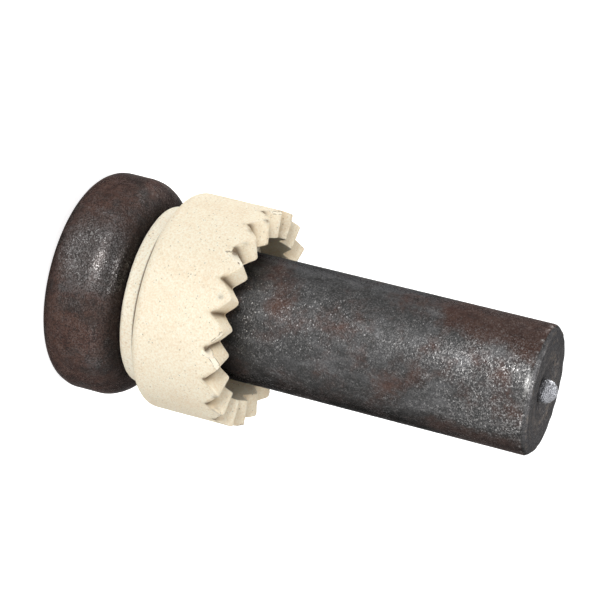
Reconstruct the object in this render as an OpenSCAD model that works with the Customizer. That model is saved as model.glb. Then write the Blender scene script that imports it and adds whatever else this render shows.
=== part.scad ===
// Headed shear stud for drawn-arc welding, with its flux ball and ceramic weld ferrule.
// It stands on its head: the origin is the centre of the head's flat face and
// +Z runs along the axis to the weld end.

/* [Stud] */
// Diameter of the plain shank
shank_d = 13; // [11:0.5:16]
// Overall length, from the head's face to the weld face
stud_length = 49; // [35:0.5:150]
// Diameter of the forged head
head_d = 22.3; // [20:0.1:34]
// Thickness of the head
head_t = 8; // [6:0.1:14]
// Rounding of the head's edge at its flat face
head_face_r = 2.4; // [0.5:0.1:4]
// Rounding of the head's edge on the shank side
head_under_r = 3.4; // [0.5:0.1:5]
// Fillet between the shank and the head
neck_r = 0.5; // [0.2:0.05:0.6]
// Chamfer around the weld face
weld_chamfer = 0.55; // [0.2:0.05:1.5]

/* [Flux ball] */
// Diameter of the aluminium ball
ball_d = 2.4; // [2:0.1:3.6]
// How deep the ball sits below the weld face
ball_sink = 1.3; // [0.6:0.05:1.7]
// Diameter of the stub that fills the drilled hole under the ball
stub_d = 1.8; // [1:0.1:1.9]
// Depth of that stub below the weld face
stub_depth = 2; // [1.8:0.1:3]
// Gap left around the pressed ball and stub
ball_clearance = 0.02; // [0.01:0.01:0.06]
// Diameter of the shallow dish around the ball
dish_d = 7.4; // [4:0.1:10]
// Depth of that dish where it meets the ball
dish_depth = 0.6; // [0.2:0.05:0.8]

/* [Ferrule] */
// How far the body lies inside the head's rim, with which it lines up
body_inset = 0.1; // [0:0.05:0.6]
// Overall height, from the collar's end to the tooth tips
ferrule_h = 11.7; // [10:0.1:20]
// Radial clearance between the shank and the bore
bore_clearance = 0.3; // [0.2:0.05:0.6]
// Wall of the collar around the bore
collar_wall = 2.3; // [1.5:0.05:3]
// Height of the collar
collar_h = 2; // [1:0.1:3]
// Width of the flat step between the collar and the shoulder
step_w = 0.75; // [0.1:0.05:1.2]
// Radius of the rounded shoulder below the body
shoulder_r = 1.3; // [0.5:0.1:2.5]
// Rounding of the collar's outer edge
collar_edge_r = 0.5; // [0.1:0.05:1]
// Chamfer at the bore's mouth, which clears the fillet under the head
mouth_chamfer = 0.5; // [0.4:0.05:0.8]

/* [Weld chamber] */
// Radial room around the bore for the molten weld collar
chamber_room = 1.5; // [0.8:0.05:2.2]
// Depth of the chamber's straight wall, from the tooth tips
chamber_depth = 3.8; // [2.5:0.1:6]
// Height of the conical roof that leads into the bore
roof_h = 1.4; // [0.5:0.1:3]

/* [Vent teeth] */
// Number of teeth around the foot
teeth = 20; // [12:1:30]
// Depth of the grooves at the outer wall
tooth_depth = 1.5; // [0.8:0.05:2.2]
// Width of the flat left on each tooth tip at the outer wall
tip_land = 0.3; // [0.1:0.05:0.8]
// Rounding at the bottom of each groove
groove_r = 0.15; // [0.05:0.05:0.3]
// How far the loose ferrule is turned on the shank, in degrees
ferrule_turn = 2; // [0:0.1:360]

/* [Hidden] */
$fn = 96;
// Room past a face, so that a cut passes cleanly through it
cut = 1;

shank_r = shank_d / 2;
head_r = head_d / 2;
// The roundings are limited by the head's thickness and by its overhang past the neck.
face_r = min(head_face_r, head_t - 1);
under_r = min(head_under_r, head_t - face_r, head_r - shank_r - neck_r);

ball_r = ball_d / 2;
ball_z = stud_length - ball_sink + ball_r;
dish_z = stud_length - dish_depth;
// Radius of the ball where it passes through the bottom of the dish
waist_r = sqrt(pow(ball_r, 2) - pow(min(abs(ball_z - dish_z), 0.8 * ball_r), 2));
// The dish leaves a flat ring of the weld face around it.
dish_r = min(dish_d / 2, shank_r - weld_chamfer - 1);

bore_r = shank_r + bore_clearance;
collar_r = bore_r + collar_wall;
chamber_r = bore_r + chamber_room;
ferrule_r = head_r - body_inset;
// The step and the shoulder share what the body stands out past the collar.
step = min(step_w, (ferrule_r - collar_r) / 2);
round_r = min(shoulder_r, ferrule_r - collar_r - step);
// The collar's end seats on the head's underside.
seat_z = head_t;

// A groove's floor runs from the axis at the tips' level down to the outer wall,
// so every ridge between two grooves stays level.
groove_slope = atan(tooth_depth / ferrule_r);
groove_half = ferrule_r * tan(180 / teeth) - tip_land / 2;
flank_angle = atan(groove_half / tooth_depth);

// Piece between two straight edges and the quarter circle tangent to both
module corner(r) {
    difference() {
        square(r);
        translate([r, r]) circle(r);
    }
}

// Half section of the stud: head, neck fillet and chamfered shank
module stud_section() {
    difference() {
        union() {
            square([head_r, head_t]);
            square([shank_r, stud_length]);
            translate([shank_r, head_t]) corner(neck_r);
        }
        translate([head_r, 0]) mirror([1, 0]) corner(face_r);
        translate([head_r, head_t]) rotate(180) corner(under_r);
        polygon([
            [shank_r - weld_chamfer, stud_length],
            [shank_r, stud_length - weld_chamfer],
            [shank_r, stud_length],
        ]);
    }
}

// The ball with its stub, grown by gap to make the socket
module ball_and_stub(gap) {
    translate([0, 0, ball_z]) sphere(ball_r + gap);
    translate([0, 0, stud_length - stub_depth - gap])
        cylinder(r = stub_d / 2 + gap, h = stub_depth);
}

module headed_stud() {
    color("#4a4340") difference() {
        rotate_extrude() stud_section();
        ball_and_stub(ball_clearance);
        translate([0, 0, dish_z]) cylinder(r1 = waist_r, r2 = dish_r, h = dish_depth);
    }
}

module flux_ball() {
    color("#b4b6ba") ball_and_stub(0);
}

// Half section of the ferrule, with its collar's end at zero height
module ferrule_section() {
    difference() {
        union() {
            translate([bore_r, 0]) square([collar_wall, ferrule_h]);
            translate([bore_r, collar_h]) square([ferrule_r - bore_r, ferrule_h - collar_h]);
        }
        translate([collar_r, 0]) mirror([1, 0]) corner(collar_edge_r);
        translate([ferrule_r, collar_h]) mirror([1, 0]) corner(round_r);
        polygon([[bore_r, 0], [bore_r + mouth_chamfer, 0], [bore_r, mouth_chamfer]]);
        polygon([
            [bore_r, ferrule_h - chamber_depth - roof_h],
            [chamber_r, ferrule_h - chamber_depth],
            [chamber_r, ferrule_h],
            [bore_r, ferrule_h],
        ]);
    }
}

// Cross section of a vent groove, with the lowest point of its rounded floor at the origin
module groove_section() {
    apex = groove_r / sin(flank_angle);
    tangent = apex * cos(flank_angle);
    top = tooth_depth + cut;
    translate([0, groove_r - apex]) {
        polygon([
            [-tangent * sin(flank_angle), tangent * cos(flank_angle)],
            [tangent * sin(flank_angle), tangent * cos(flank_angle)],
            [top * tan(flank_angle), top],
            [-top * tan(flank_angle), top],
        ]);
        translate([0, apex]) circle(groove_r);
    }
}

module vent_groove() {
    translate([0, 0, ferrule_h]) rotate([0, groove_slope, 0]) rotate([90, 0, 90])
        linear_extrude(ferrule_r + cut) groove_section();
}

module ceramic_ferrule() {
    color("#efe6cf") translate([0, 0, seat_z]) rotate(ferrule_turn) difference() {
        rotate_extrude() ferrule_section();
        for (i = [0 : teeth - 1]) rotate(i * 360 / teeth) vent_groove();
    }
}

headed_stud();
flux_ball();
ceramic_ferrule();
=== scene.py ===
import math

import bpy
import numpy as np
from mathutils import Matrix, Vector, noise


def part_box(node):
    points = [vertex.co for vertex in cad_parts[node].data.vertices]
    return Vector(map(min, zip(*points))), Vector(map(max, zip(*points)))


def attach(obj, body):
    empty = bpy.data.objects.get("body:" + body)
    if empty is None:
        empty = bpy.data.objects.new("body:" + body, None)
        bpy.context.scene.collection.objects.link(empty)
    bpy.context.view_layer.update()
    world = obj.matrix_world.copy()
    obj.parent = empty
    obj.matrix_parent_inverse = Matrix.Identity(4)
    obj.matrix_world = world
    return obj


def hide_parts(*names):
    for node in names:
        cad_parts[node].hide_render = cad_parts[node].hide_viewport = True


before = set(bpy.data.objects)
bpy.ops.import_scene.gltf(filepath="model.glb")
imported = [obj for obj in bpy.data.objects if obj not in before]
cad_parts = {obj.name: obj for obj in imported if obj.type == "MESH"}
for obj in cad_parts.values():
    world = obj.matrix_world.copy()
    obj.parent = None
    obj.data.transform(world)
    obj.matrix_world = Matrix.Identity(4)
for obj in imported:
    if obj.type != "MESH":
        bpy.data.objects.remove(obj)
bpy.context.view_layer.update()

# Headed stud: plain round bar with one end hot-upset into a head in a die, the other end
# sheared off, chamfered and drilled for the flux ball. It is left as forged, under a dark
# skin of mill scale that is rubbed bright in specks and rusting brown in patches. Its colour
# also holds painted light: a highlight band with sparkles down the near side, a glint on the
# chamfer's edge, a lighter upper side, and painted shade on the lower side and under the head.
mm = 0.001
_, stud_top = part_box("headed_stud")
head_r = stud_top.x / mm
stud_length = stud_top.z / mm
shank_r = 6.5
head_t = 8.0
head_face_r = 2.4
head_under_r = 3.4
neck_r = 0.5
weld_chamfer = 0.55
ball_low, ball_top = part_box("flux_ball")
ball_clearance = 0.02
ball_r = ball_top.x / mm
ball_z = ball_top.z / mm - ball_r
stub_r = 0.9
socket_r = ball_r + ball_clearance
dish_r = 3.7
dish_depth = 0.6
dish_z = stud_length - dish_depth
stub_hole_r = stub_r + ball_clearance
stub_floor_z = ball_low.z / mm - ball_clearance
# Outlines stay this little off the axis, so that their points don't meet on it.
hub_r = 0.05
ball_hub_r = 0.02


def straight(start, end, spacing):
    """Points from start up to, but not including, end, about one spacing apart."""
    start, end = np.array(start, float), np.array(end, float)
    count = max(1, round(np.linalg.norm(end - start) / spacing))
    share = np.arange(count)[:, None] / count
    return start + (end - start) * share


def bend(centre, radius, first, last, spacing):
    """Points along an arc between two angles in degrees, without the last."""
    sweep = math.radians(last - first)
    count = max(2, round(abs(sweep) * radius / spacing))
    angle = math.radians(first) + sweep * np.arange(count) / count
    ring = np.column_stack([np.cos(angle), np.sin(angle)])
    return np.array(centre, float) + radius * ring


def outward(grid, joined):
    """Unit normals of a grid of points whose columns run round the axis."""
    around = np.roll(grid, -1, axis=1) - np.roll(grid, 1, axis=1)
    if joined:
        along = np.roll(grid, -1, axis=0) - np.roll(grid, 1, axis=0)
    else:
        along = np.gradient(grid, axis=0)
    normal = np.cross(around, along)
    return normal / np.maximum(np.linalg.norm(normal, axis=2, keepdims=True), 1e-12)


def rumple(grid, size, seed):
    """Smooth noise from -1 to 1 at each point of a grid, with lumps of that size."""
    flat = grid.reshape(-1, 3) / size + seed
    values = [noise.noise(Vector(point)) for point in flat]
    return np.array(values).reshape(grid.shape[:2])


def skin(name, grid, joined, crease, marks):
    """A mesh object over a grid of points in mm, with a crease angle in degrees and its marks
    as attributes. A joined grid closes on its first row, another on a point at each end."""
    rows, columns = grid.shape[:2]
    index = np.arange(rows * columns).reshape(rows, columns)
    after = np.roll(index, -1, axis=1)
    upper = np.roll(index, -1, axis=0)
    upper_after = np.roll(after, -1, axis=0)
    quads = np.stack([index, after, upper_after, upper], axis=2)
    points = grid.reshape(-1, 3)
    faces = quads.reshape(-1, 4).tolist()
    if not joined:
        faces = quads[:-1].reshape(-1, 4).tolist()
        ends = np.array([grid[0].mean(axis=0), grid[-1].mean(axis=0)])
        points = np.concatenate([points, ends])
        low, high = rows * columns, rows * columns + 1
        faces += [[b, a, low] for a, b in zip(index[0].tolist(), after[0].tolist())]
        faces += [[a, b, high] for a, b in zip(index[-1].tolist(), after[-1].tolist())]
    mesh = bpy.data.meshes.new(name)
    mesh.from_pydata((points * mm).tolist(), [], faces)
    for mark, values in marks.items():
        spread = np.zeros(len(points))
        spread[:rows * columns] = values.reshape(-1)
        mesh.attributes.new(mark, "FLOAT", "POINT").data.foreach_set("value", spread)
    mesh.shade_smooth()
    mesh.set_sharp_from_angle(angle=math.radians(crease))
    piece = bpy.data.objects.new(name, mesh)
    bpy.context.scene.collection.objects.link(piece)
    return piece


def spin(outline, columns):
    """Turns an outline of (radius, height) points round the axis."""
    turn = 2 * math.pi * np.arange(columns) / columns
    radius, height = outline[:, 0][:, None], outline[:, 1][:, None]
    return np.stack([
        radius * np.cos(turn),
        radius * np.sin(turn),
        height + 0 * turn,
    ], axis=2)


rim_top = head_t - head_under_r
neck_z = head_t + neck_r
chamfer_z = stud_length - weld_chamfer
face_r = shank_r - weld_chamfer
edge_r = 0.3
edge_run = edge_r * math.tan(math.radians(22.5))
edge_dip = edge_run * math.sqrt(0.5)
socket_mouth = math.degrees(math.asin((dish_z - ball_z) / socket_r))
socket_mouth_r = socket_r * math.cos(math.radians(socket_mouth))
stub_mouth = -math.degrees(math.acos(stub_hole_r / socket_r))
stub_mouth_z = ball_z + socket_r * math.sin(math.radians(stub_mouth))
stud_outline = np.concatenate([
    straight((hub_r, 0), (head_r - head_face_r, 0), 0.4),
    bend((head_r - head_face_r, head_face_r), head_face_r, -90, 0, 0.22),
    straight((head_r, head_face_r), (head_r, rim_top), 0.25),
    bend((head_r - head_under_r, rim_top), head_under_r, 0, 90, 0.22),
    straight((head_r - head_under_r, head_t), (shank_r + neck_r, head_t), 0.3),
    bend((shank_r + neck_r, neck_z), neck_r, 270, 180, 0.16),
    straight((shank_r, neck_z), (shank_r, chamfer_z - edge_run), 0.27),
    bend((shank_r - edge_r, chamfer_z - edge_run), edge_r, 0, 45, 0.05),
    straight(
        (shank_r - edge_dip, chamfer_z + edge_dip),
        (face_r + edge_dip, stud_length - edge_dip),
        0.1,
    ),
    bend((face_r - edge_run, stud_length - edge_r), edge_r, 45, 90, 0.05),
    straight((face_r - edge_run, stud_length), (dish_r, stud_length), 0.2),
    straight((dish_r, stud_length), (socket_mouth_r, dish_z), 0.15),
    bend((0, ball_z), socket_r, socket_mouth, stub_mouth, 0.12),
    straight((stub_hole_r, stub_mouth_z), (stub_hole_r, stub_floor_z), 0.2),
    straight((stub_hole_r, stub_floor_z), (hub_r, stub_floor_z), 0.3),
])
stud_columns = 320
stud_grid = spin(stud_outline, stud_columns)
stud_r = np.hypot(stud_grid[..., 0], stud_grid[..., 1])
stud_z = stud_grid[..., 2]
# The flat face that stands on the floor and the socket stay as they are.
stud_free = np.clip(stud_z / 1.5, 0, 1) * np.clip((stud_r - 1.4) / 0.5, 0, 1)
# The shank runs inside the ferrule's bore, so it only loses material.
inward = (stud_z > head_t) * 1.0
lumps = 0.035 * rumple(stud_grid, 7.0, 3.1) * (1 - 0.6 * inward)
scabs = 0.02 * rumple(stud_grid, 1.6, 11.7)
pitting = -0.06 * np.clip(rumple(stud_grid, 0.75, 5.3) - 0.42, 0, 1)
edge = np.exp(-((stud_r - shank_r) ** 2 + (stud_z - chamfer_z) ** 2) / 0.14 ** 2)
inner_edge = np.exp(-((stud_r - face_r) ** 2 + (stud_z - stud_length) ** 2) / 0.18 ** 2)
dish_lip = np.exp(-((stud_r - dish_r + 0.3) / 0.6) ** 2) * (stud_z > dish_z - 1)
face = np.clip((shank_r - 0.12 - stud_r) / 0.2, 0, 1) * (stud_z > dish_z - 1)
nicks = -0.10 * (edge + inner_edge) * np.clip(rumple(stud_grid, 1.1, 21.9) + 0.15, 0, 1)
rise = (lumps + scabs + pitting) * (1 - 0.7 * inward) - 0.03 * inward + nicks
stud_grid = stud_grid + outward(stud_grid, False) * (rise * stud_free)[..., None]
stud = skin("headed_stud_forged", stud_grid, False, 50, {
    "edge": edge,
    "lip": dish_lip,
    "face": face,
})


class Shade:
    """One socket of a material's nodes. An operator adds a Math node, and node() any other."""

    def __init__(self, tree, socket=None):
        self.tree = tree
        self.socket = socket

    def node(self, kind, settings, sockets, output=0):
        made = self.tree.nodes.new("ShaderNode" + kind)
        for name, value in settings.items():
            setattr(made, name, value)
        for name, value in sockets.items():
            if isinstance(value, Shade):
                self.tree.links.new(value.socket, made.inputs[name])
            else:
                made.inputs[name].default_value = value
        return Shade(self.tree, made.outputs[output] if made.outputs else None)

    def maths(self, operation, *values):
        return self.node("Math", {"operation": operation}, dict(enumerate(values)))

    def __add__(self, other):
        return self.maths("ADD", self, other)

    def __sub__(self, other):
        return self.maths("SUBTRACT", self, other)

    def __rsub__(self, other):
        return self.maths("SUBTRACT", other, self)

    def __mul__(self, other):
        return self.maths("MULTIPLY", self, other)

    def __or__(self, other):
        return self.maths("MAXIMUM", self, other)

    __radd__ = __add__
    __rmul__ = __mul__
    __ror__ = __or__

    def between(self, low, high):
        """0 below low, 1 above high, and a smooth step between them."""
        return self.node("MapRange", {"interpolation_type": "SMOOTHSTEP"}, {
            "Value": self,
            "From Min": low,
            "From Max": high,
        })

    def mixed(self, other, share):
        """This colour, with a share of another one over it."""
        return blended(self, other, share)

    def clouds(self, size, seed, detail=3.0, rough=0.55):
        """Noise from 0 to 1 over this place in mm, with lumps of about that size."""
        return self.node("TexNoise", {"noise_dimensions": "4D"}, {
            "Vector": self,
            "W": seed,
            "Scale": 1 / size,
            "Detail": detail,
            "Roughness": rough,
        })

    def grains(self, size, output):
        """Cells of that size in mm over this place: the distance to a grain or its own colour."""
        return self.node("TexVoronoi", {"voronoi_dimensions": "3D", "feature": "F1"}, {
            "Vector": self,
            "Scale": 1 / size,
        }, output)

    def distance(self, spot):
        """How far this place is from a spot, in mm."""
        return self.node("VectorMath", {"operation": "DISTANCE"}, {0: self, 1: spot}, "Value")

    def stretched(self, shares):
        """This place with each axis multiplied, so that marks are drawn out along a small one."""
        return self.node("VectorMath", {"operation": "MULTIPLY"}, {0: self, 1: shares})

    def part(self, axis):
        """One number, X, Y or Z, of a vector."""
        return self.node("SeparateXYZ", {}, {"Vector": self}, axis)

    def mark(self, name):
        """A mesh attribute."""
        return self.node("Attribute", {"attribute_name": name}, {}, "Fac")


def blended(under, over, share):
    """A share of one colour over another. One of the three is a socket."""
    tree = next(value for value in (under, over, share) if isinstance(value, Shade))
    return tree.node("Mix", {"data_type": "RGBA"}, {0: share, 6: under, 7: over}, 2)


def paint(*levels):
    """A colour from its red, green and blue levels out of 255, as they look on a screen."""
    linear = [((v / 255 + 0.055) / 1.055) ** 2.4 for v in levels]
    return (*linear, 1.0)


def finish(name):
    """A new material, the start of its nodes and the place on the piece in mm."""
    material = bpy.data.materials.new(name)
    material.use_nodes = True
    material.node_tree.nodes.clear()
    start = Shade(material.node_tree)
    spot = start.node("TexCoord", {}, {}, "Object")
    place = start.node("VectorMath", {"operation": "SCALE"}, {0: spot, "Scale": 1 / mm})
    return material, start, place


def coat(piece, material, start, sockets):
    """Ends a material in its surface shader and puts it on a piece."""
    surface = start.node("BsdfPrincipled", {}, sockets)
    start.node("OutputMaterial", {}, {"Surface": surface})
    piece.data.materials.append(material)


scale_dark = paint(60, 60, 60)
scale_black_and_shade = paint(42, 41, 40)
scale_haze = paint(91, 91, 92)
rust_brown = paint(77, 57, 50)
rust_deep = paint(66, 45, 39)
rubbed_steel_and_highlight = paint(130, 128, 127)
sparkle_highlight_grey = paint(206, 204, 203)
edge_glint_bright = paint(186, 185, 183)
sheared_face = paint(82, 81, 82)
sheared_streak = paint(142, 130, 118)
dull_edge_on = (0.25, 0.25, 0.25, 1)
# Spots where the head's scale is rubbed off, the front one also painted grey as the head's
# highlight, and the spot where the chamfer's edge is bare and painted bright as its glint, in mm
rubbed_and_highlight_spots = [(-2.5, -10.5, 4.6), (8.0, 7.4, 4.2), (-9.5, 5.0, 5.2)]
bare_glint_spot = (-0.3, -6.4, 48.5)

steel, start, place = finish("mill_scale")
height = place.part("Z")
across = place.part("X")
on_head = 1 - height.between(head_t - 0.5, head_t + 2)
near_weld = height.between(stud_length - 16, stud_length - 3)
on_face = start.mark("face")
patch = place.clouds(3.0, 10.0, 4.0, 0.6)
handled_and_highlit = 0.0
for spot in rubbed_and_highlight_spots:
    handled_and_highlit = handled_and_highlit | (1 - (place.distance(spot) + 4.0 * patch).between(3.6, 7.2))
flanks = near_weld * ((0 - across).between(2.0, 5.2) | across.between(4.4, 5.8))
rust_cloud = place.clouds(4.0, 1.0, 6.0, 0.68) - 0.03
rust = (rust_cloud + 0.19 * on_head + 0.25 * flanks - on_face).between(0.44, 0.70)
rust = rust * (1 - 0.75 * handled_and_highlit)
drawn = place.stretched((1, 1, 0.5))
# Painted light and shade: the shank's upper side is made lighter and its lower side darker.
painted_light_side = (0 - across).between(5.0, 6.2) * (1 - on_head)
painted_shade_side = across.between(2.5, 6.2) * (1 - on_head)
# Painted highlight: a band down the shank's near side, on the line where the key lamp's highlight
# falls as the camera sees it, stronger towards both ends.
highlight_line_offset = across + 0.8
painted_highlight_band = (1 - (highlight_line_offset * highlight_line_offset).between(3.0, 22.0)) * (0 - place.part("Y")).between(2, 5)
near_ends = near_weld | (1 - height.between(25, 32))
painted_highlight_band = painted_highlight_band * (1 - on_head) * (0.5 + 0.5 * near_ends)
# Haze is lighter and soot thinner on the painted light side, and soot is thicker on the painted
# shade side.
haze = (drawn.clouds(1.9, 2.0, 6.0, 0.7) + 0.15 * painted_light_side).between(0.46, 0.68)
soot_cloud = drawn.clouds(2.0, 3.0, 5.0, 0.65) + 0.05 * painted_shade_side - 0.12 * painted_light_side
soot = soot_cloud.between(0.53, 0.72)
mottle = place.clouds(0.9, 4.0, 4.0, 0.65)
fine = place.clouds(0.2, 5.0, 2.0, 0.6)
crumb = place.grains(0.105, "Color").part("X")
grit = 0.5 * fine + 0.5 * crumb
clump = place.clouds(1.3, 13.0, 4.0, 0.65).between(0.36, 0.62)
bar_rub = place.clouds(5.0, 6.0, 3.0, 0.6).between(0.36, 0.60) * (1 - on_head)
# Rubbed scale: real wear on the bar and at the head's rubbed spots, plus the painted highlight
# band and the weld end, which is made brighter partly as painted highlight.
rubbed_and_highlit = 0.5 * bar_rub | painted_highlight_band | 0.9 * near_weld | handled_and_highlit
shows = (0.40 + 0.60 * rubbed_and_highlit) * (0.4 + 0.6 * clump)
shows = shows * (1 - 0.5 * soot) * (1 - 0.5 * on_face) * (1 - 0.65 * flanks)
glint = grit.between(0.42, 0.86) * shows
# Painted sparkles: sparse bright grains on the rubbed scale and in the painted highlight band.
painted_sparkle = crumb.between(0.95, 1.0) * shows * rubbed_and_highlit * (1 - 0.5 * rust) * (1 - 0.5 * on_head)
scratch = place.stretched((1, 1, 0.03)).clouds(0.16, 8.0, 1.0).between(0.70, 0.80) * rubbed_and_highlit
# The chamfer's edges are worn bare in nicks all round; on the outer edge nearest the camera a spot
# is also painted bright as the edge's glint.
bare_glint = 1 - place.distance(bare_glint_spot).between(0.4, 1.3)
nicked = place.clouds(0.7, 7.0, 3.0).between(0.48, 0.72) * 0.7
worn_and_glint = start.mark("edge") * (nicked | bare_glint) * (0.35 + 0.65 * fine.between(0.38, 0.56))

shear = start.node("TexWave", {"wave_type": "RINGS", "rings_direction": "Z"}, {
    "Vector": place,
    "Scale": 0.35,
    "Distortion": 5.0,
    "Detail": 3.0,
    "Detail Scale": 0.6,
}, "Fac")
scored_lip = start.mark("lip") * place.clouds(0.5, 12.0, 4.0, 0.7).between(0.48, 0.62)
torn = shear.between(0.5, 1.0) * place.clouds(0.8, 9.0, 4.0).between(0.46, 0.64)
streak = 0.5 * torn | scored_lip

scale_colour = blended(scale_dark, scale_haze, haze * 0.75)
scale_colour = scale_colour.mixed(scale_black_and_shade, soot * 0.8)
face_colour = blended(sheared_face, sheared_streak, streak * 0.7)
face_colour = face_colour.mixed(scale_black_and_shade, mottle.between(0.45, 0.75) * 0.35)
rust_colour = blended(rust_brown, rust_deep, mottle.between(0.42, 0.62))
stud_colour = scale_colour.mixed(rust_colour, rust * 0.9)
stud_colour = stud_colour.mixed(scale_black_and_shade, mottle.between(0.5, 0.75) * 0.4)
# Painted shade along the shank's lower side; the flanks near the weld end are darker as well.
painted_shade_underneath = painted_shade_side * (0.55 - 0.1 * near_weld)
stud_colour = stud_colour.mixed(scale_black_and_shade, painted_shade_underneath | 0.3 * flanks)
# Painted shade on the head's underside, next to the ferrule's collar.
stud_colour = stud_colour.mixed(scale_black_and_shade, on_head * height.between(5.4, 7.8) * 0.55)
stud_colour = stud_colour.mixed(scale_black_and_shade, on_head * patch.between(0.5, 0.64) * 0.55)
stud_colour = stud_colour.mixed(face_colour, on_face * 0.9)
grit_shade = (1 - grit.between(0.24, 0.48)) * (0.35 + 0.4 * on_head)
stud_colour = stud_colour.mixed(scale_black_and_shade, grit_shade)
# Bright specks of bare steel, more of them near the weld end and on the head, and in the painted
# highlight band, where they are painted highlight.
specks_and_highlight = glint * (0.56 + 0.64 * near_weld + 0.4 * on_head) * (1 - 0.4 * rust)
stud_colour = stud_colour.mixed(rubbed_steel_and_highlight, specks_and_highlight | (scratch * 0.4))
# Painted sparkles.
stud_colour = stud_colour.mixed(sparkle_highlight_grey, painted_sparkle * 0.5)
# Worn edge colour, partly painted glint.
stud_colour = stud_colour.mixed(edge_glint_bright, worn_and_glint * 0.9)
roughness = 0.46 + 0.10 * rust - 0.22 * (glint | worn_and_glint | painted_sparkle) - 0.12 * handled_and_highlit
roughness = roughness + 0.14 * (mottle - 0.5) + 0.1 * on_face
bumps = start.node("Bump", {}, {
    "Height": (1 - worn_and_glint) * fine + mottle * 0.9 - soot * 0.2 + streak * on_face * 0.5,
    "Strength": 1.0,
    "Distance": 0.034 * mm,
})
coat(stud, steel, start, {
    "Base Color": stud_colour,
    "Metallic": 1 - 0.2 * rust,
    "Roughness": roughness,
    "Specular IOR Level": 0.2,
    "Specular Tint": dull_edge_on,
    "Normal": bumps,
})
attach(stud, "stud")
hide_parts("headed_stud")

# Flux ball: a soft aluminium ball pressed into the drilled centre of the weld face, where it
# lights the arc and cleans the weld. The press has squeezed its skin into fine crinkles.
stub_z = ball_low.z / mm
stub_meets = math.degrees(math.acos(stub_r / ball_r))
stub_meets_z = ball_z - ball_r * math.sin(math.radians(stub_meets))
ball_outline = np.concatenate([
    straight((ball_hub_r, stub_z), (stub_r, stub_z), 0.15),
    straight((stub_r, stub_z), (stub_r, stub_meets_z), 0.12),
    bend((0, ball_z), ball_r, -stub_meets, 89, 0.025),
])
ball_columns = 220
ball_grid = spin(ball_outline, ball_columns)
above_dish = np.clip((ball_grid[..., 2] - dish_z) / 0.3, 0, 1)
crinkle = (
    0.07 * (np.abs(rumple(ball_grid, 0.36, 31.3)) - 0.3)
    + 0.07 * (np.abs(rumple(ball_grid, 0.17, 7.9)) - 0.3)
    + 0.05 * (rumple(ball_grid, 1.5, 2.2) - 0.6)
)
ball_grid = ball_grid + outward(ball_grid, False) * (crinkle * above_dish)[..., None]
ball = skin("flux_ball_pressed", ball_grid, False, 60, {})

aluminium_pale = paint(152, 153, 157)
aluminium_grey = paint(104, 105, 109)
aluminium, start, place = finish("crinkled_aluminium")
fold = place.clouds(0.3, 1.0, 3.0, 0.6)
grain = place.clouds(0.1, 2.0, 2.0, 0.5)
sparkle = (0.5 * fold + 0.5 * grain).between(0.42, 0.56)
bumps = start.node("Bump", {}, {
    "Height": fold * 0.6 + grain * 0.4,
    "Strength": 1.0,
    "Distance": 0.045 * mm,
})
coat(ball, aluminium, start, {
    "Base Color": blended(aluminium_grey, aluminium_pale, sparkle),
    "Metallic": 0.85,
    "Roughness": 0.34 + 0.2 * (grain - 0.5),
    "Normal": bumps,
})
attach(ball, "stud")
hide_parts("flux_ball")

# Weld ferrule: a ring of pressed and fired cordierite ceramic, slipped over the shank with its
# collar against the head. V-shaped vents cut its foot into teeth, over a chamber that shapes the
# molten weld collar. It is brittle, so the teeth are chipped and pitted and the edges worn.
ring_low, ring_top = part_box("ceramic_ferrule")
ring_r = 11.05
seat_z = ring_low.z / mm
tip_z = ring_top.z / mm
bore_r = 6.8
collar_r = 9.1
collar_h = 2.0
collar_edge_r = 0.5
mouth_chamfer = 0.5
step_w = 0.75
shoulder_r = ring_r - collar_r - step_w
chamber_r = 8.3
chamber_depth = 3.8
roof_h = 1.4
chamber_floor_z = tip_z - chamber_depth
roof_z = chamber_floor_z - roof_h
teeth = 20
tooth_depth = 1.5
tip_land = 0.3
groove_r = 0.15
ring_turn = math.radians(2)
worn_edge = 0.16
edge_cut = 0.3 * worn_edge

tooth_turn = 2 * math.pi / teeth
groove_slope = math.atan(tooth_depth / ring_r)
groove_half = ring_r * math.tan(tooth_turn / 2) - tip_land / 2
flank = math.atan(groove_half / tooth_depth)
root_lift = groove_r / math.sin(flank) - groove_r


def softer_min(a, b, soft):
    """The smaller of two numbers, with the corner where they cross rounded off."""
    blend = np.clip(0.5 + 0.5 * (b - a) / soft, 0, 1)
    return b + (a - b) * blend - soft * blend * (1 - blend)


tooth_columns = 24
columns = teeth * tooth_columns
turn = 2 * math.pi * np.arange(columns) / columns
from_groove = (turn + tooth_turn / 2) % tooth_turn - tooth_turn / 2
tooth = np.floor(turn / tooth_turn - 0.0001).astype(int) % teeth
tooth_wear = np.array([0.5 + 0.5 * noise.noise(Vector((k * 1.7, 4.2, 9.1))) for k in range(teeth)])
groove = np.round(turn / tooth_turn).astype(int) % teeth
groove_cut = np.array([1 + 0.09 * noise.noise(Vector((k * 2.9, 1.4, 6.6))) for k in range(teeth)])


def foot(radius):
    """Height of the toothed foot at a radius, for every column."""
    across = np.abs(radius * np.sin(from_groove))
    round_half = groove_r * math.cos(flank)
    in_root = across < round_half
    arc = groove_r - np.sqrt(np.maximum(groove_r ** 2 - across ** 2, 0))
    sides = across / math.tan(flank) - root_lift
    profile = np.where(in_root, arc, sides)
    fall = radius * np.cos(from_groove) * math.sin(groove_slope) * groove_cut[groove]
    lift = (profile - fall) / math.cos(groove_slope)
    return tip_z + softer_min(lift, -0.2 * tooth_wear[tooth], 0.2)


def ring_row(radius, height):
    """One row of the ring's section: a radius and a height for every column."""
    return np.column_stack([np.full(columns, radius), np.full(columns, height)])


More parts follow.
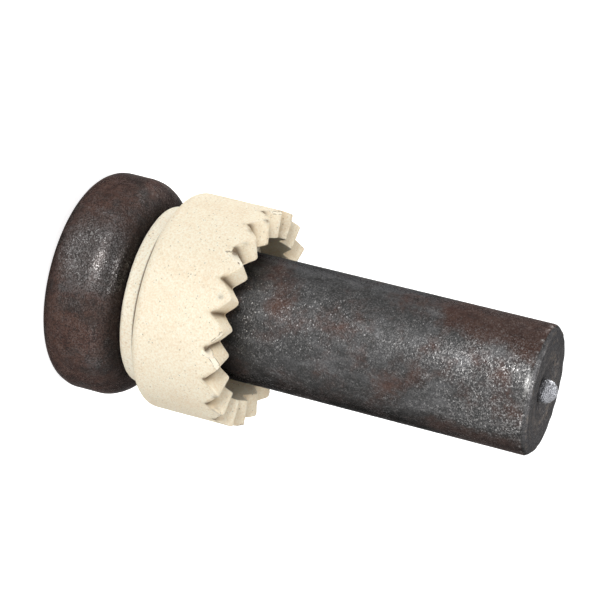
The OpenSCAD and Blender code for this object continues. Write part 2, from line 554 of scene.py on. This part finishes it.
bottom = np.concatenate([
    straight((bore_r, seat_z + mouth_chamfer), (bore_r + mouth_chamfer, seat_z), 0.2),
    straight((bore_r + mouth_chamfer, seat_z), (collar_r - collar_edge_r, seat_z), 0.25),
    bend((collar_r - collar_edge_r, seat_z + collar_edge_r), collar_edge_r, -90, 0, 0.13),
    straight((collar_r, seat_z + collar_edge_r), (collar_r, seat_z + collar_h), 0.06),
    straight((collar_r, seat_z + collar_h), (collar_r + step_w, seat_z + collar_h), 0.15),
    bend((collar_r + step_w, seat_z + collar_h + shoulder_r), shoulder_r, -90, 0, 0.16),
])
wall_z = seat_z + collar_h + shoulder_r
wall_rows = 36
foot_rows = 16
chamber_rows = 13
rows = [ring_row(r, z) for r, z in bottom]
rim = foot(ring_r)
for share in np.arange(wall_rows) / (wall_rows - 1):
    rows.append(ring_row(ring_r, wall_z + (rim - worn_edge - wall_z) * share))
rows.append(ring_row(ring_r - edge_cut, foot(ring_r - edge_cut) - edge_cut))
for share in np.arange(foot_rows) / (foot_rows - 1):
    radius = ring_r - worn_edge + (chamber_r + 2 * worn_edge - ring_r) * share
    rows.append(ring_row(radius, foot(radius)))
rows.append(ring_row(chamber_r + edge_cut, foot(chamber_r) - edge_cut))
chamber_lip = foot(chamber_r) - worn_edge
for share in np.arange(chamber_rows) / (chamber_rows - 1):
    rows.append(ring_row(chamber_r, chamber_lip + (chamber_floor_z - chamber_lip) * share))
inside = np.concatenate([
    straight((chamber_r, chamber_floor_z), (bore_r, roof_z), 0.3)[1:],
    straight((bore_r, roof_z), (bore_r, seat_z + mouth_chamfer), 0.5),
])
rows += [ring_row(r, z) for r, z in inside]
section = np.array(rows)
ring_grid = np.stack([
    section[..., 0] * np.cos(turn + ring_turn),
    section[..., 0] * np.sin(turn + ring_turn),
    section[..., 1],
], axis=2)

wall_first = len(bottom)
foot_first = wall_first + wall_rows
chamber_first = foot_first + foot_rows + 2
# The seat on the head, the roof and the bore stay as they are.
seat_rows = 8
ring_free = np.ones(len(rows))
ring_free[:seat_rows] = 0
ring_free[chamber_first + chamber_rows:] = 0
press = 0.03 * rumple(ring_grid, 2.4, 41.0) + 0.012 * rumple(ring_grid, 0.6, 17.0)
ring_rise = (press - 0.03) * ring_free[:, None]
ring_grid = ring_grid + outward(ring_grid, True) * ring_rise[..., None]

broken = np.zeros(section.shape[:2])


def chip(angle, radius, height, facing, depth, reach):
    """Breaks a flake off at a spot given in degrees and mm, down to a rough slanted face."""
    turned = math.radians(angle)
    spot = np.array([radius * math.cos(turned), radius * math.sin(turned), height])
    tilt = np.array(facing, float)
    tilt /= np.linalg.norm(tilt)
    out = np.array([math.cos(turned), math.sin(turned), 0])
    aside = np.array([-math.sin(turned), math.cos(turned), 0])
    normal = out * tilt[0] + aside * tilt[1] + np.array([0, 0, tilt[2]])
    near = np.linalg.norm(ring_grid - spot, axis=2) < reach
    ragged = 0.05 * rumple(ring_grid, 0.5, angle)
    over = (ring_grid - spot) @ normal + depth + ragged
    cut = np.where(near, np.maximum(over, 0), 0)
    ring_grid[:] = ring_grid - cut[..., None] * normal
    np.maximum(broken, np.clip(cut / 0.05, 0, 1), out=broken)


# Each flake: angle in degrees, how far below the tips, the way its face looks (out, round and up),
# how deep it goes and how far it reaches.
flakes = [
    (-115, 0.0, (1.0, -0.5, 0.9), 0.30, 1.7),
    (-118, 1.0, (1.0, -0.9, 0.4), 0.12, 1.2),
    (-97, 0.0, (1.0, 0.4, 1.2), 0.16, 1.3),
    (-79, 0.0, (1.0, 0.6, 0.7), 0.22, 1.5),
    (-61, 0.0, (1.0, -0.6, 0.8), 0.34, 1.8),
    (-65, 1.1, (1.0, -1.2, 0.5), 0.10, 1.1),
    (-43, 0.0, (1.0, 0.2, 1.0), 0.18, 1.3),
    (-25, 0.0, (1.0, 0.7, 0.8), 0.28, 1.7),
    (-133, 0.0, (1.0, 0.3, 0.8), 0.15, 1.2),
    (11, 0.0, (1.0, -0.3, 0.7), 0.25, 1.5),
    (47, 0.0, (1.0, 0.8, 0.9), 0.32, 1.7),
    (83, 0.0, (0.8, -0.7, 1.0), 0.20, 1.4),
    (119, 0.0, (1.0, 0.5, 0.6), 0.30, 1.7),
    (155, 0.0, (0.9, -0.4, 1.1), 0.18, 1.3),
    (191, 0.0, (1.0, 0.6, 0.8), 0.26, 1.5),
]
for angle, drop, facing, depth, reach in flakes:
    chip(angle, ring_r, tip_z - drop, facing, depth, reach)

# Painted shade in the groove roots between the teeth; the toothed end and the chamber are also a
# little darker tan.
groove_shade_and_tan = np.zeros(section.shape[:2])
in_groove = np.clip(1 - (foot(ring_r) - tip_z + tooth_depth) / 0.9, 0, 1)
groove_shade_and_tan[foot_first - 2:chamber_first] = 0.25 + 0.75 * in_groove
groove_shade_and_tan[foot_first - 4:foot_first - 2] = 0.5 * in_groove ** 4
groove_shade_and_tan[chamber_first:chamber_first + chamber_rows] = 0.1
# Painted shadow lines: on the collar just under the shoulder's overhang, and along the groove
# roots between the teeth. The soiled pits added below are dirt.
crease = np.zeros(section.shape[:2])
under_shoulder = (bottom[:, 0] > collar_r - 0.01) & (bottom[:, 1] < seat_z + collar_h + 0.1)
painted_corner_shadow = np.clip((bottom[:, 1] - seat_z - collar_h + 0.56) / 0.12, 0, 1) * under_shoulder
crease[:len(bottom)] = painted_corner_shadow[:, None]
crease[foot_first - 1:chamber_first - 2] = np.exp(-(ring_r * from_groove / 0.27) ** 2)
# Soiled pits on the teeth: angle in degrees, how far below the tips, and size in mm
soiled_pits = [
    (-127, 0.6, 0.40), (-139, 0.9, 0.45), (-150, 0.3, 0.35), (-161, 0.8, 0.35), (-108, 0.3, 0.25),
    (-97, 1.2, 0.25), (-71, 0.5, 0.30), (-52, 0.9, 0.40), (-41, 0.4, 0.40), (-29, 0.7, 0.35),
    (-15, 0.3, 0.30), (21, 0.5, 0.40), (65, 0.8, 0.35), (101, 0.4, 0.40), (148, 0.7, 0.35),
]
for angle, drop, size in soiled_pits:
    turned = math.radians(angle)
    spot = np.array([ring_r * math.cos(turned), ring_r * math.sin(turned), tip_z - drop])
    away = np.linalg.norm(ring_grid - spot, axis=2)
    soil = np.clip(0.7 + 1.2 * rumple(ring_grid, 0.35, angle), 0, 1)
    np.maximum(crease, 0.85 * np.exp(-(away / size) ** 2) * soil, out=crease)
ring = skin("ceramic_ferrule_fired", ring_grid, True, 38, {
    "broken": broken,
    "groove_shade_and_tan": groove_shade_and_tan,
    "crease": crease,
})

clay_cream = paint(245, 235, 211)
clay_tan = paint(232, 210, 178)
clay_collar_pale_and_lit = paint(254, 248, 228)
clay_shade_tan = paint(196, 172, 136)
clay_fresh = paint(249, 245, 232)
clay_crack_and_shade = paint(92, 72, 50)
speck_dark = paint(112, 102, 88)
speck_tan = paint(196, 172, 134)

ceramic, start, place = finish("fired_ceramic")
height = place.part("Z")
on_collar = 1 - height.between(seat_z + collar_h - 0.1, seat_z + collar_h + 0.1)
blush = place.clouds(4.5, 1.0, 4.0, 0.6).between(0.45, 0.7)
meal = place.clouds(0.2, 2.0, 3.0, 0.65)
near_speck = place.grains(0.27, "Distance")
speck_kind = place.grains(0.27, "Color")
dusty = place.clouds(3.0, 3.0, 3.0, 0.6).between(0.35, 0.65)
chosen = (speck_kind.part("X") + 0.12 * dusty).between(0.88, 1.0)
speck = chosen * (1 - near_speck.between(0.1, 0.32))
tan_kind = speck_kind.part("Y").between(0.72, 0.9)
tan_speck = tan_kind * (1 - near_speck.between(0.1, 0.5))
# The collar's clay is paler, and it is also painted lighter to stand in for light where the
# shoulder shades it.
ring_colour = blended(clay_cream, clay_collar_pale_and_lit, on_collar * 0.9)
ring_colour = ring_colour.mixed(clay_tan, blush * 0.45)
ring_colour = ring_colour.mixed(clay_tan, meal.between(0.44, 0.68) * 0.7)
ring_colour = ring_colour.mixed(clay_fresh, (1 - meal.between(0.34, 0.5)) * 0.5)
# Painted shade in the groove roots, and a darker tan over the toothed end.
ring_colour = ring_colour.mixed(clay_shade_tan, start.mark("groove_shade_and_tan") * (0.35 + 0.65 * blush))
flake = start.mark("broken")
ring_colour = ring_colour.mixed(clay_fresh, flake * 0.4)
flake_rim = flake.between(0.03, 0.3) * (1 - flake.between(0.4, 0.9))
crack = flake_rim * place.clouds(0.5, 4.0, 2.0).between(0.42, 0.6)
ring_colour = ring_colour.mixed(clay_crack_and_shade, crack * 0.85)
ring_colour = ring_colour.mixed(speck_tan, tan_speck * 0.35)
ring_colour = ring_colour.mixed(speck_dark, speck * 0.6)
# Painted shadow lines at the collar and the groove roots, and dirt in the soiled pits.
ring_colour = ring_colour.mixed(clay_crack_and_shade, start.mark("crease") * 0.9)
bumps = start.node("Bump", {}, {
    "Height": meal * 0.8 - speck * 0.6,
    "Strength": 1.0,
    "Distance": 0.03 * mm,
})
coat(ring, ceramic, start, {
    "Base Color": ring_colour,
    "Roughness": 0.82 + 0.12 * (meal - 0.5),
    "Specular IOR Level": 0.25,
    "Normal": bumps,
})
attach(ring, "ferrule")
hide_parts("ceramic_ferrule")

# Studio: a white sheet under the part, which the camera and reflections see as plain white,
# weak light from all round, a key lamp beside the camera and four softer lamps that fill in
# the lower side, the upper side, the back and the weld end.
floor_half = 1.5
floor_mesh = bpy.data.meshes.new("floor_sheet")
floor_mesh.from_pydata([
    (-floor_half, -floor_half, 0),
    (floor_half, -floor_half, 0),
    (floor_half, floor_half, 0),
    (-floor_half, floor_half, 0),
], [], [(0, 1, 2, 3)])
floor = bpy.data.objects.new("floor_sheet", floor_mesh)
bpy.context.scene.collection.objects.link(floor)
sheet, start, _ = finish("white_sheet")
sheet_white = (0.82, 0.82, 0.82, 1)
sheet_glow = 0.83
room_light = 0.10


def seen_directly(start):
    """1 for what the camera sees itself, in a reflection or through glass."""
    sight = start.node("LightPath", {}, {}, "Is Camera Ray")
    glossy = start.node("LightPath", {}, {}, "Is Glossy Ray")
    through = start.node("LightPath", {}, {}, "Is Transmission Ray")
    return sight | glossy | through


paper = start.node("BsdfDiffuse", {}, {"Color": sheet_white})
glow = start.node("Emission", {}, {"Color": (1, 1, 1, 1), "Strength": sheet_glow})
lit_paper = start.node("AddShader", {}, {0: paper, 1: glow})
either = start.node("MixShader", {}, {0: seen_directly(start), 1: paper, 2: lit_paper})
start.node("OutputMaterial", {}, {"Surface": either})
floor_mesh.materials.append(sheet)

world = bpy.data.worlds.new("white_room")
world.use_nodes = True
world.node_tree.nodes.clear()
start = Shade(world.node_tree)
soft = start.node("Background", {}, {"Color": (1, 1, 1, 1), "Strength": room_light})
white = start.node("Background", {}, {"Color": (1, 1, 1, 1), "Strength": 1.0})
either = start.node("MixShader", {}, {0: seen_directly(start), 1: soft, 2: white})
start.node("OutputWorld", {}, {"Surface": either})
bpy.context.scene.world = world

middle = Vector((0, 0, 0.5 * stud_length * mm))


def softbox(name, azimuth, elevation, distance, size, level):
    """A soft lamp aimed at the part's middle. A white card that faces it shows that level."""
    lamp = bpy.data.lights.new(name, "AREA")
    lamp.shape = "RECTANGLE"
    lamp.size, lamp.size_y = size
    lamp.energy = level * math.pi ** 2 * distance ** 2
    holder = bpy.data.objects.new(name, lamp)
    bpy.context.scene.collection.objects.link(holder)
    round_z = math.radians(azimuth)
    up = math.radians(elevation)
    aside = Vector((math.sin(round_z), -math.cos(round_z), 0))
    direction = aside * math.cos(up) + Vector((0, 0, math.sin(up)))
    holder.location = middle + direction * distance
    holder.rotation_euler = direction.to_track_quat("Z", "Y").to_euler()


softbox("key_lamp", -18, 5, 0.40, (0.18, 0.08), 0.52)
softbox("lower_fill", 62, 18, 0.60, (0.30, 0.30), 0.33)
softbox("upper_fill", -128, 5, 0.60, (0.40, 0.40), 0.76)
softbox("back_fill", 165, 60, 0.60, (0.60, 0.60), 0.08)
softbox("end_fill", -30, 80, 0.60, (0.30, 0.30), 0.60)

# Camera: beside the part and a little above the weld end's side, turned so that the standing
# part lies across the picture with its head at the left.
camera_elevation = math.radians(17.70)
camera_distance = 236.05 * mm
camera_roll = math.radians(103.91)
camera_aim = Vector((-2.82, 0, 22.81)) * mm
camera_data = bpy.data.cameras.new("camera")
camera_data.sensor_width = 36
camera_data.lens = 143.32
camera_data.clip_start = 0.01
camera = bpy.data.objects.new("camera", camera_data)
bpy.context.scene.collection.objects.link(camera)
back = Vector((0, -math.cos(camera_elevation), math.sin(camera_elevation)))
upright = Vector((0, math.sin(camera_elevation), math.cos(camera_elevation)))
sideways = upright.cross(back)
right = sideways * math.cos(camera_roll) + upright * math.sin(camera_roll)
up = upright * math.cos(camera_roll) - sideways * math.sin(camera_roll)
camera_turn = Matrix((right, up, back)).transposed().to_4x4()
camera.matrix_world = Matrix.Translation(camera_aim + back * camera_distance) @ camera_turn
bpy.context.scene.camera = camera

bpy.context.scene.view_settings.view_transform = "Standard"
